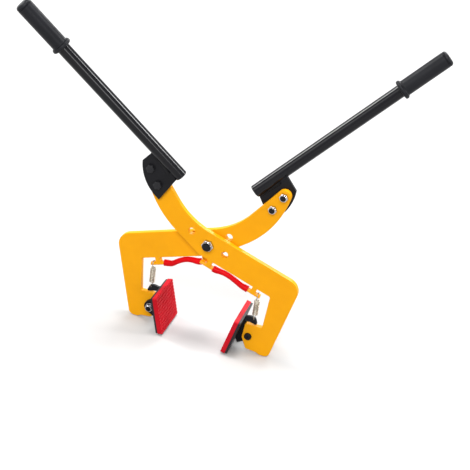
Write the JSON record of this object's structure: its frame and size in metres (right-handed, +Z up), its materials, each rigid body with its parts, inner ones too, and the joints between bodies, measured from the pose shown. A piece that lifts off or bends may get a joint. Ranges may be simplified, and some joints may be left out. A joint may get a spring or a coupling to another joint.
{
  "type": "stone lifting clamp",
  "caption": "Two-person stone lifting clamp: crossed plate arms on a pivot bolt, splayed tube handles and sprung swivelling rubber pads that close as the handles are lifted.",
  "frame": {"origin": "the pivot bolt's axis, midway between the two arm plates", "axes": "+Z up, Y along the pivot bolt with the front arm on the -Y side, +X to the right in the picture"},
  "size_m": [0.8438, 0.291, 0.7439],
  "materials": {
    "orange_paint": "satin powder coat",
    "black_paint": "matt powder coat",
    "tube_paint": "satin gloss coat",
    "grey_paint": "matt dark grey",
    "black_plastic": "moulded",
    "grip_rubber": "smooth dark grey",
    "black_steel": "black oxide",
    "zinc": "bright zinc",
    "nylon": "dark nylon",
    "red_rubber": "moulded studs",
    "spring_steel": "yellowish zinc",
    "hose_rubber": "glossy"
  },
  "bodies": {
    "front_arm": {"pivot_bolt": "black_steel", "pivot_nut": "zinc", "pivot_nut_ring": "nylon", "pivot_spacer": "zinc", "front_arm_plate": "orange_paint", "front_handle_bracket": "black_paint", "front_handle_tube": "tube_paint", "front_tube_plug": "black_plastic", "front_handle_weld": "black_paint", "front_grip": "grip_rubber", "front_handle_bolts": "black_steel", "front_handle_nuts": "zinc", "front_handle_nut_rings": "nylon", "front_pad_bolt": "black_steel", "front_pad_washers": "zinc", "front_pad_nut": "zinc", "front_pad_nut_ring": "nylon", "front_spring": "spring_steel", "front_hose": "hose_rubber"},
    "rear_arm": {"rear_arm_plate": "orange_paint", "rear_handle_bracket": "black_paint", "rear_handle_tube": "tube_paint", "rear_tube_plug": "black_plastic", "rear_handle_weld": "black_paint", "rear_grip": "grip_rubber", "rear_handle_bolts": "black_steel", "rear_handle_nuts": "zinc", "rear_handle_nut_rings": "nylon", "rear_pad_bolt": "black_steel", "rear_pad_washers": "zinc", "rear_pad_nut": "zinc", "rear_pad_nut_ring": "nylon", "rear_spring": "spring_steel", "rear_hose": "hose_rubber"},
    "front_pad": {"front_pad_ear": "black_paint", "front_spring_lug": "black_paint", "front_pad_backing": "grey_paint", "front_pad_rubber": "red_rubber"},
    "rear_pad": {"rear_pad_ear": "black_paint", "rear_spring_lug": "black_paint", "rear_pad_backing": "grey_paint", "rear_pad_rubber": "red_rubber"}
  },
  "joints": [
    {"name": "arm_pivot", "type": "hinge", "parent": "front_arm", "child": "rear_arm", "pos_m": [0, 0, 0], "axis": [0, -1, 0], "range_deg": [-40, 30]},
    {"name": "front_pad_swivel", "type": "hinge", "parent": "front_arm", "child": "front_pad", "pos_m": [0.122, 0, -0.2047], "axis": [0, 1, 0], "range_deg": [-35, 7], "stiffness_Nm_per_rad": 5, "springref_deg": 2.29, "deforming": ["front_spring"]},
    {"name": "rear_pad_swivel", "type": "hinge", "parent": "rear_arm", "child": "rear_pad", "pos_m": [-0.122, 0, -0.2047], "axis": [0, -1, 0], "range_deg": [-35, 7], "stiffness_Nm_per_rad": 5, "springref_deg": 2.29, "deforming": ["rear_spring"]}
  ]
}
